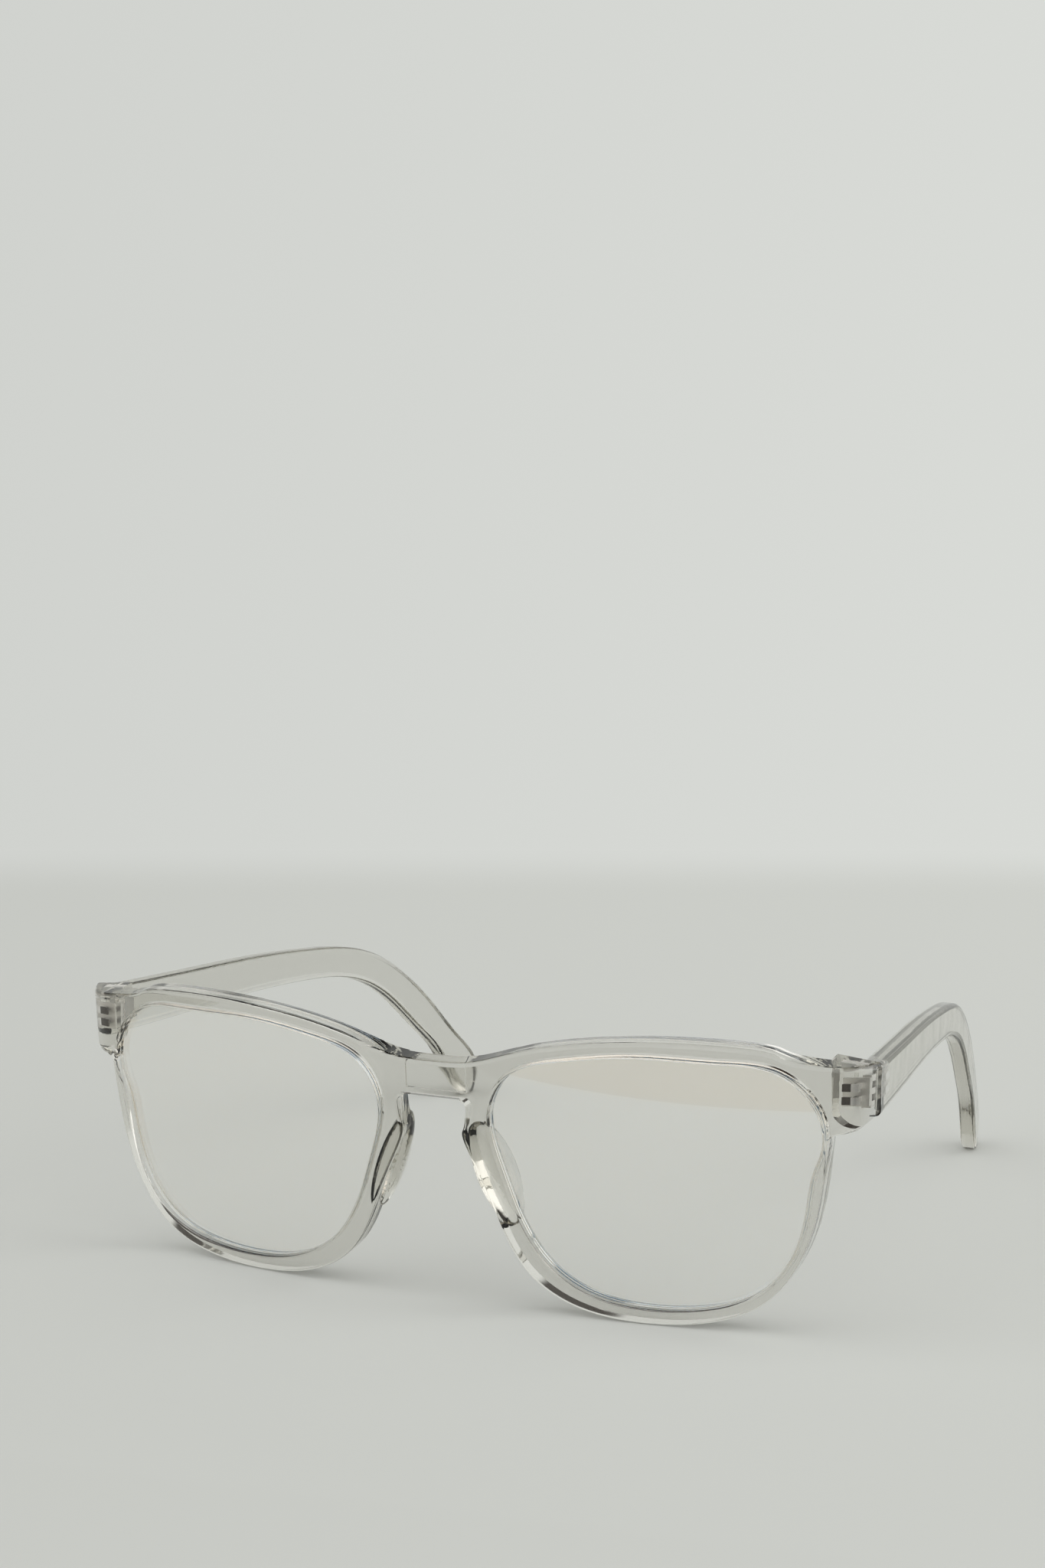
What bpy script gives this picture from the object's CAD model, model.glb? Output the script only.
import math

import bmesh
import bpy
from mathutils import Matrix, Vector


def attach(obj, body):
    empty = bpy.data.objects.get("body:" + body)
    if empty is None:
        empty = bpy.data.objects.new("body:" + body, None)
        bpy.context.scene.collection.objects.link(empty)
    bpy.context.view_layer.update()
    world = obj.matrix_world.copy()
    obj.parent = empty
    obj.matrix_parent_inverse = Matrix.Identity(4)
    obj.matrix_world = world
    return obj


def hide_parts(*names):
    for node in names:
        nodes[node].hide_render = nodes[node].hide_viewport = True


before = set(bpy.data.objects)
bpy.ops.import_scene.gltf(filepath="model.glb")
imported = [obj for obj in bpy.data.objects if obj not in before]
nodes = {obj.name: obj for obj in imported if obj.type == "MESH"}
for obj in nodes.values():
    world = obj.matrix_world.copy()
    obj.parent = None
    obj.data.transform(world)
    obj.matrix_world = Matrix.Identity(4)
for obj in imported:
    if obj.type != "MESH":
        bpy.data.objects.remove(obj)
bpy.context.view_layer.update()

# ---- camera -------------------------------------------------------------------------------------
CAMERA_PLACE = Vector((0.1974, -0.4708, 0.1514))
CAMERA_TURN = math.radians(24.08)   # heading, turned left from straight back
CAMERA_DIP = math.radians(8.33)     # looking down
CAMERA_LENS = 66.23                 # mm, on a 36 mm long side

# ---- stage --------------------------------------------------------------------------------------
TABLE_COLOUR = (0.63, 0.642, 0.612, 1)
ROOM_COLOUR = (0.662, 0.676, 0.648, 1)
ROOM_SLOPE = 0.24                   # how much brighter the room gets per unit of direction to the right
TABLE_SLOPE = 0.25                  # and the table per metre
TABLE_REACH = 0.844                 # from below the camera to where the table gives way to the wall
TABLE_FADE = (-0.03, 0.05)          # the wall's tone comes in between these distances from there
TABLE_FRONT = -0.146                # the table's front edge on X = 0, as the lenses reflect it
TABLE_FRONT_SLOPE = 0.135
FRONT_HEIGHT = 0.0005               # the dark floor in front of that edge lies this far above the table
FRONT_NEAR = -1.5                   # its near edge, and its half width
FRONT_HALF = 1.2
FLOOR_HALF = 4.0

# ---- room light ---------------------------------------------------------------------------------
WINDOW_WAY = Vector((0.90, 0.28, 0.34)).normalized()
WINDOW_GLOW = 1.7
WINDOW_RADII = (34, 20)             # degrees from its middle, where it begins and where it is full
SOFTBOX_WAY = (0, -0.6, 0.8)        # above the camera
SOFTBOX_GLOW = 1.35
SOFTBOX_EDGE = (0.3, 0.8)           # it begins and is full at these cosines from its middle
DARK_COLOUR = (0.035, 0.028, 0.022, 1)
DARK_HEIGHT = (0.53, 0.59)          # the dark behind the glasses begins and is full at these heights,
DARK_BEHIND = (0.1, 0.35)           # and this far towards the heading
FRONT_COLOUR = (0.10, 0.05, 0.02, 1)

# ---- plastic ------------------------------------------------------------------------------------
PLASTIC_IOR = 1.50
PLASTIC_TINT = (0.50, 0.47, 0.36, 1)
PLASTIC_DENSITY = 90.0
LENS_IOR = 2.0
LENS_GAP = 0.00002                  # air between lens and groove
SHARP_ANGLE = math.radians(25)      # edges at least this steep stay crisp
METAL_GROWTH = 0.000012             # moulded-in metal reaches this far into the plastic

# ---- hinge anchors, moulded into the end blocks -------------------------------------------------
ANCHOR_BACK = -0.0529               # they lie in front of this
ANCHOR_MIDDLE = 0.0668              # their dark halves lie nearer the bridge than this
STAIN_EDGE = 0.00004                # softness of the edge between the dark half and the bare metal
STAIN_COLOUR = (0.09, 0.08, 0.07, 1)

# ---- hinge metal --------------------------------------------------------------------------------
MARK_SCALE = 3000                   # fine machining marks, per metre
MARK_DIMMING = 0.88                 # tone in the marks
MARK_ROUGHNESS = (0.7, 1.4)         # least and most, as a share of the metal's roughness

heading = Vector((-math.sin(CAMERA_TURN), math.cos(CAMERA_TURN), 0))
rightward = Vector((math.cos(CAMERA_TURN), math.sin(CAMERA_TURN), 0))


def new_material(name):
    """Empty node material and its principled shader."""
    material = bpy.data.materials.new(name)
    material.use_nodes = True
    tree = material.node_tree
    shader = tree.nodes["Principled BSDF"]
    return material, tree, shader


def noise(tree, scale, detail=2.0, roughness=0.5):
    """Noise in the object's own coordinates."""
    coords = tree.nodes.new("ShaderNodeTexCoord")
    texture = tree.nodes.new("ShaderNodeTexNoise")
    texture.inputs["Scale"].default_value = scale
    texture.inputs["Detail"].default_value = detail
    texture.inputs["Roughness"].default_value = roughness
    tree.links.new(coords.outputs["Object"], texture.inputs["Vector"])
    return texture


def remap(tree, socket, low, high):
    """The socket's 0 to 1 as low to high."""
    node = tree.nodes.new("ShaderNodeMapRange")
    node.inputs["To Min"].default_value = low
    node.inputs["To Max"].default_value = high
    tree.links.new(socket, node.inputs["Value"])
    return node.outputs["Result"]


def bump(tree, shader, socket, strength, distance):
    node = tree.nodes.new("ShaderNodeBump")
    node.inputs["Strength"].default_value = strength
    node.inputs["Distance"].default_value = distance
    tree.links.new(socket, node.inputs["Height"])
    tree.links.new(node.outputs["Normal"], shader.inputs["Normal"])


def absorb(tree, colour, density):
    """Plain absorption inside the solid, so that thick places are darker."""
    volume = tree.nodes.new("ShaderNodeVolumeAbsorption")
    volume.inputs["Color"].default_value = colour
    volume.inputs["Density"].default_value = density
    tree.links.new(volume.outputs["Volume"], tree.nodes["Material Output"].inputs["Volume"])


def clear_plastic():
    """Polished crystal plastic: faint moulding waves, a few hazier patches, a warm grey depth."""
    material, tree, shader = new_material("crystal_plastic")
    shader.inputs["Base Color"].default_value = (1, 1, 1, 1)
    shader.inputs["Transmission Weight"].default_value = 1.0
    shader.inputs["IOR"].default_value = PLASTIC_IOR
    haze = noise(tree, 90, 3)
    tree.links.new(remap(tree, haze.outputs["Fac"], 0.01, 0.05), shader.inputs["Roughness"])
    waves = noise(tree, 160, 1)
    bump(tree, shader, waves.outputs["Fac"], 0.08, 0.0004)
    absorb(tree, PLASTIC_TINT, PLASTIC_DENSITY)
    return material


def lens_plastic():
    """Clear lens with a blue-reflecting coating, so what passes through is a little yellow."""
    material, tree, shader = new_material("lens_plastic")
    shader.inputs["Base Color"].default_value = (0.99, 0.985, 0.965, 1)
    shader.inputs["Transmission Weight"].default_value = 1.0
    shader.inputs["IOR"].default_value = LENS_IOR
    shader.inputs["Specular IOR Level"].default_value = 1.0
    shader.inputs["Specular Tint"].default_value = (0.3, 0.62, 1.0, 1)
    dust = noise(tree, 500, 4, 0.7)
    tree.links.new(remap(tree, dust.outputs["Fac"], 0.0, 0.02), shader.inputs["Roughness"])
    return material


def steel(name, colour, roughness):
    """Machined metal with fine marks in its finish and its tone."""
    material, tree, shader = new_material(name)
    shader.inputs["Metallic"].default_value = 1.0
    marks = noise(tree, MARK_SCALE, 3)
    least, most = (roughness * share for share in MARK_ROUGHNESS)
    tree.links.new(remap(tree, marks.outputs["Fac"], least, most), shader.inputs["Roughness"])
    worn = tuple(MARK_DIMMING * channel for channel in colour[:3]) + (1,)
    tone = mixed(tree, marks.outputs["Fac"], worn, colour)
    tree.links.new(tone, shader.inputs["Base Color"])
    return material


def stain_anchors(material):
    """Darkens the inner halves of the anchors, which show through the end blocks as dark squares."""
    tree = material.node_tree
    shader = tree.nodes["Principled BSDF"]
    place = tree.nodes.new("ShaderNodeTexCoord").outputs["Object"]
    parts = tree.nodes.new("ShaderNodeSeparateXYZ")
    tree.links.new(place, parts.inputs["Vector"])
    outward = tree.nodes.new("ShaderNodeMath")
    outward.operation = "ABSOLUTE"
    tree.links.new(parts.outputs["X"], outward.inputs[0])
    inner = smooth(tree, outward.outputs["Value"], ANCHOR_MIDDLE + STAIN_EDGE, ANCHOR_MIDDLE - STAIN_EDGE)
    front = smooth(tree, parts.outputs["Y"], ANCHOR_BACK + STAIN_EDGE, ANCHOR_BACK - STAIN_EDGE)
    dull = tree.nodes.new("ShaderNodeMath")
    dull.operation = "MULTIPLY"
    tree.links.new(inner, dull.inputs[0])
    tree.links.new(front, dull.inputs[1])
    clean = shader.inputs["Base Color"].links[0].from_socket
    tree.links.new(mixed(tree, dull.outputs["Value"], clean, STAIN_COLOUR), shader.inputs["Base Color"])


def assign(material, *names):
    for name in names:
        slots = nodes[name].data.materials
        slots.clear()
        slots.append(material)


def both(name):
    return [name + "_left", name + "_right"]


def refit(name, body, material, grow):
    """Stand-in for a CAD node that meets the clear plastic: its mesh, grown (or shrunk) by grow so
    that the two surfaces never lie in each other."""
    node = nodes[name]
    mesh = node.data.copy()
    mesh.name = name + "_look"
    shape = bmesh.new()
    shape.from_mesh(mesh)
    bmesh.ops.remove_doubles(shape, verts=shape.verts, dist=1e-7)
    bmesh.ops.recalc_face_normals(shape, faces=shape.faces)
    moves = [v.normal * v.calc_shell_factor() * grow for v in shape.verts]
    for vertex, move in zip(shape.verts, moves):
        vertex.co += move
    shape.to_mesh(mesh)
    shape.free()
    if "custom_normal" in mesh.attributes:
        mesh.attributes.remove(mesh.attributes["custom_normal"])
    mesh.set_sharp_from_angle(angle=SHARP_ANGLE)
    mesh.materials.clear()
    mesh.materials.append(material)
    piece = bpy.data.objects.new(name + "_look", mesh)
    bpy.context.scene.collection.objects.link(piece)
    piece.matrix_world = node.matrix_world.copy()
    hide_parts(name)
    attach(piece, body)
    return piece


def along(tree, socket, way):
    """How far the vector in the socket points along way."""
    node = tree.nodes.new("ShaderNodeVectorMath")
    node.operation = "DOT_PRODUCT"
    node.inputs[1].default_value = way
    tree.links.new(socket, node.inputs[0])
    return node.outputs["Value"]


def smooth(tree, socket, start, end):
    """Smooth 0 to 1 as the socket goes from start to end."""
    node = tree.nodes.new("ShaderNodeMapRange")
    node.interpolation_type = "SMOOTHSTEP"
    node.inputs["From Min"].default_value = start
    node.inputs["From Max"].default_value = end
    tree.links.new(socket, node.inputs["Value"])
    return node.outputs["Result"]


def mixed(tree, factor, first, second):
    """Colour between first and second; each is a colour or a socket."""
    node = tree.nodes.new("ShaderNodeMix")
    node.data_type = "RGBA"
    tree.links.new(factor, node.inputs["Factor"])
    for name, value in (("A", first), ("B", second)):
        socket = [s for s in node.inputs if s.name == name and s.type == "RGBA"][0]
        if isinstance(value, tuple):
            socket.default_value = value
        else:
            tree.links.new(value, socket)
    return [s for s in node.outputs if s.type == "RGBA"][0]


def brighter_right(tree, vector, colour, slope):
    """The colour, rising by slope per unit of the vector to the right."""
    rise = tree.nodes.new("ShaderNodeMath")
    rise.operation = "MULTIPLY_ADD"
    rise.inputs[1].default_value = slope
    rise.inputs[2].default_value = 1.0
    tree.links.new(along(tree, vector, rightward), rise.inputs[0])
    tint = tree.nodes.new("ShaderNodeVectorMath")
    tint.operation = "SCALE"
    tint.inputs[0].default_value = colour[:3]
    tree.links.new(rise.outputs["Value"], tint.inputs["Scale"])
    return tint.outputs["Vector"]


def room_tone(tree, direction):
    return brighter_right(tree, direction, ROOM_COLOUR, ROOM_SLOPE)


def stage_floor():
    """Pale table that gives way to the wall's tone behind the glasses, square to the camera."""
    bpy.ops.mesh.primitive_plane_add(size=2 * FLOOR_HALF)
    floor = bpy.context.object
    floor.name = "floor"
    material, tree, shader = new_material("pale_floor")
    shader.inputs["Roughness"].default_value = 0.9
    shader.inputs["Specular IOR Level"].default_value = 0.1
    geometry = tree.nodes.new("ShaderNodeNewGeometry")
    table = brighter_right(tree, geometry.outputs["Position"], TABLE_COLOUR, TABLE_SLOPE)
    tree.links.new(table, shader.inputs["Base Color"])
    edge = CAMERA_PLACE.dot(heading) + TABLE_REACH
    start, end = (edge + step for step in TABLE_FADE)
    far = smooth(tree, along(tree, geometry.outputs["Position"], heading), start, end)
    offset = tree.nodes.new("ShaderNodeVectorMath")
    offset.operation = "SUBTRACT"
    offset.inputs[1].default_value = CAMERA_PLACE
    tree.links.new(geometry.outputs["Position"], offset.inputs[0])
    direction = tree.nodes.new("ShaderNodeVectorMath")
    direction.operation = "NORMALIZE"
    tree.links.new(offset.outputs["Vector"], direction.inputs[0])
    wall = tree.nodes.new("ShaderNodeEmission")
    tree.links.new(room_tone(tree, direction.outputs["Vector"]), wall.inputs["Color"])
    joined = tree.nodes.new("ShaderNodeMixShader")
    tree.links.new(far, joined.inputs[0])
    tree.links.new(shader.outputs["BSDF"], joined.inputs[1])
    tree.links.new(wall.outputs["Emission"], joined.inputs[2])
    tree.links.new(joined.outputs["Shader"], tree.nodes["Material Output"].inputs["Surface"])
    floor.data.materials.append(material)
    return floor


def stage_front():
    """What the lenses reflect in front of the table: a dark warm floor, seen in no other way."""
    mesh = bpy.data.meshes.new("front_floor")
    edge = [(x, TABLE_FRONT + x * TABLE_FRONT_SLOPE) for x in (FRONT_HALF, -FRONT_HALF)]
    corners = [(-FRONT_HALF, FRONT_NEAR), (FRONT_HALF, FRONT_NEAR)] + edge
    mesh.from_pydata([(x, y, FRONT_HEIGHT) for x, y in corners], [], [(0, 1, 2, 3)])
    front = bpy.data.objects.new("front_floor", mesh)
    bpy.context.scene.collection.objects.link(front)
    material, tree, shader = new_material("front_floor")
    shader.inputs["Base Color"].default_value = FRONT_COLOUR
    shader.inputs["Roughness"].default_value = 1.0
    mesh.materials.append(material)
    front.visible_camera = False
    front.visible_diffuse = False
    front.visible_transmission = False
    front.visible_shadow = False
    return front


def world_light():
    """Pale room with a soft window on the right, a softbox above the camera and dark high behind."""
    world = bpy.data.worlds.new("room")
    bpy.context.scene.world = world
    world.use_nodes = True
    tree = world.node_tree
    background = tree.nodes["Background"]
    direction = tree.nodes.new("ShaderNodeTexCoord").outputs["Generated"]
    softbox = smooth(tree, along(tree, direction, SOFTBOX_WAY), *SOFTBOX_EDGE)
    high = smooth(tree, along(tree, direction, (0, 0, 1)), *DARK_HEIGHT)
    behind = smooth(tree, along(tree, direction, heading), *DARK_BEHIND)
    dark = tree.nodes.new("ShaderNodeMath")
    dark.operation = "MULTIPLY"
    tree.links.new(high, dark.inputs[0])
    tree.links.new(behind, dark.inputs[1])
    rim, full = (math.cos(math.radians(radius)) for radius in WINDOW_RADII)
    window = smooth(tree, along(tree, direction, WINDOW_WAY), rim, full)
    glow = (SOFTBOX_GLOW, SOFTBOX_GLOW, SOFTBOX_GLOW, 1)
    colour = mixed(tree, softbox, room_tone(tree, direction), glow)
    colour = mixed(tree, dark.outputs["Value"], colour, DARK_COLOUR)
    colour = mixed(tree, window, colour, (WINDOW_GLOW, WINDOW_GLOW, WINDOW_GLOW * 0.98, 1))
    tree.links.new(colour, background.inputs["Color"])


def camera():
    data = bpy.data.cameras.new("camera")
    data.lens = CAMERA_LENS
    data.sensor_width = 36
    data.clip_start = 0.01
    data.clip_end = 20
    rig = bpy.data.objects.new("camera", data)
    bpy.context.scene.collection.objects.link(rig)
    rig.location = CAMERA_PLACE
    rig.rotation_euler = (math.pi / 2 - CAMERA_DIP, 0, CAMERA_TURN)
    bpy.context.scene.camera = rig


plastic = clear_plastic()
lens = lens_plastic()
hinge_metal = steel("hinge_metal", (0.98, 0.97, 0.95, 1), 0.4)
stain_anchors(hinge_metal)
screw_steel = steel("screw_steel", (0.62, 0.62, 0.62, 1), 0.25)
assign(plastic, "front_frame", *both("temple"))
assign(screw_steel, *both("hinge_screw"))
for side in ("left", "right"):
    glass = refit("lens_" + side, "front", lens, -LENS_GAP)
    glass.visible_shadow = False
    glass.visible_diffuse = False
    refit("front_hinge_leaf_" + side, "front", hinge_metal, METAL_GROWTH)
    refit("temple_hinge_leaf_" + side, "temple_" + side, hinge_metal, METAL_GROWTH)

stage_floor()
stage_front()
world_light()
camera()
bpy.context.scene.view_settings.view_transform = "Standard"
